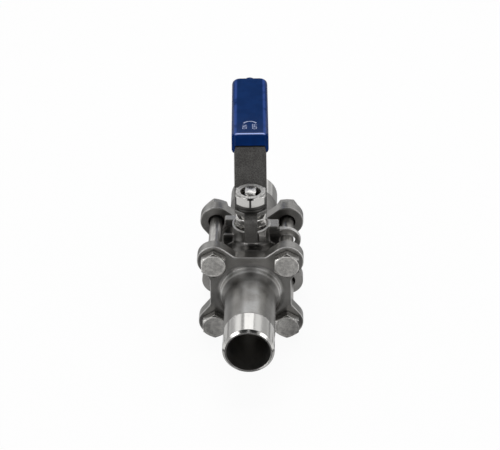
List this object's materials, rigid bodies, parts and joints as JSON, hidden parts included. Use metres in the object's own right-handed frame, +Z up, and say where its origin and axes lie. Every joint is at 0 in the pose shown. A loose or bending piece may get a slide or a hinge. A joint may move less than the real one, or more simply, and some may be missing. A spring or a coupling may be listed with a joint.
{
  "type": "three-piece ball valve",
  "caption": "Three-piece ball valve with plain weld ends, lugged end caps held by through bolts, and a bent quarter-turn lever with a vinyl sleeve.",
  "frame": {"origin": "centre of the ball, where the pipe's centre line and the stem's centre line cross", "axes": "+Y along the pipe, towards the nuts and the far end of the open lever; +Z up along the stem; +X across the pipe"},
  "size_m": [0.0568, 0.1763, 0.0964],
  "materials": {
    "cast_steel": "blasted stainless casting, machined bright at the weld ends",
    "bolt_steel": "cold headed stainless fasteners",
    "bright_steel": "bright turned stainless",
    "polished_steel": "polished stainless ball",
    "blasted_steel": "blasted stainless sheet",
    "seat_ptfe": "filled fluoropolymer seats and packing",
    "seal_rubber": "black rubber O-ring",
    "sleeve_vinyl": "glossy dark blue vinyl sleeve",
    "print_white": "white ink of the words on the sleeve"
  },
  "bodies": {
    "valve_body": {"center_body": "cast_steel", "front_end_cap": "cast_steel", "rear_end_cap": "cast_steel", "front_seat": "seat_ptfe", "rear_seat": "seat_ptfe", "front_body_gasket": "seat_ptfe", "rear_body_gasket": "seat_ptfe", "flange_bolts": "bolt_steel", "flange_nuts": "bolt_steel", "thrust_washer": "seat_ptfe", "packing_ring_bottom": "seat_ptfe", "packing_ring_middle": "seat_ptfe", "packing_ring_top": "seat_ptfe", "gland_follower": "bright_steel"},
    "stem_and_lever": {"stem": "bright_steel", "stem_o_ring": "seal_rubber", "lower_disc_spring": "bright_steel", "upper_disc_spring": "bright_steel", "gland_nut": "bright_steel", "lever": "blasted_steel", "lever_sleeve": "sleeve_vinyl", "lever_washer": "bright_steel", "lever_spring_washer": "bright_steel", "stem_nut": "bright_steel"},
    "valve_ball": {"ball": "polished_steel"}
  },
  "joints": [
    {"name": "stem_turn", "type": "hinge", "parent": "valve_body", "child": "stem_and_lever", "pos_m": [0, 0, 0], "axis": [0, 0, 1], "range_deg": [-90, 0]},
    {"name": "ball_turn", "type": "hinge", "parent": "valve_body", "child": "valve_ball", "pos_m": [0, 0, 0], "axis": [0, 0, 1], "range_deg": [-90, 0]}
  ],
  "couplings": [
    {"joint": "ball_turn", "follows": "stem_turn", "ratio": 1}
  ]
}
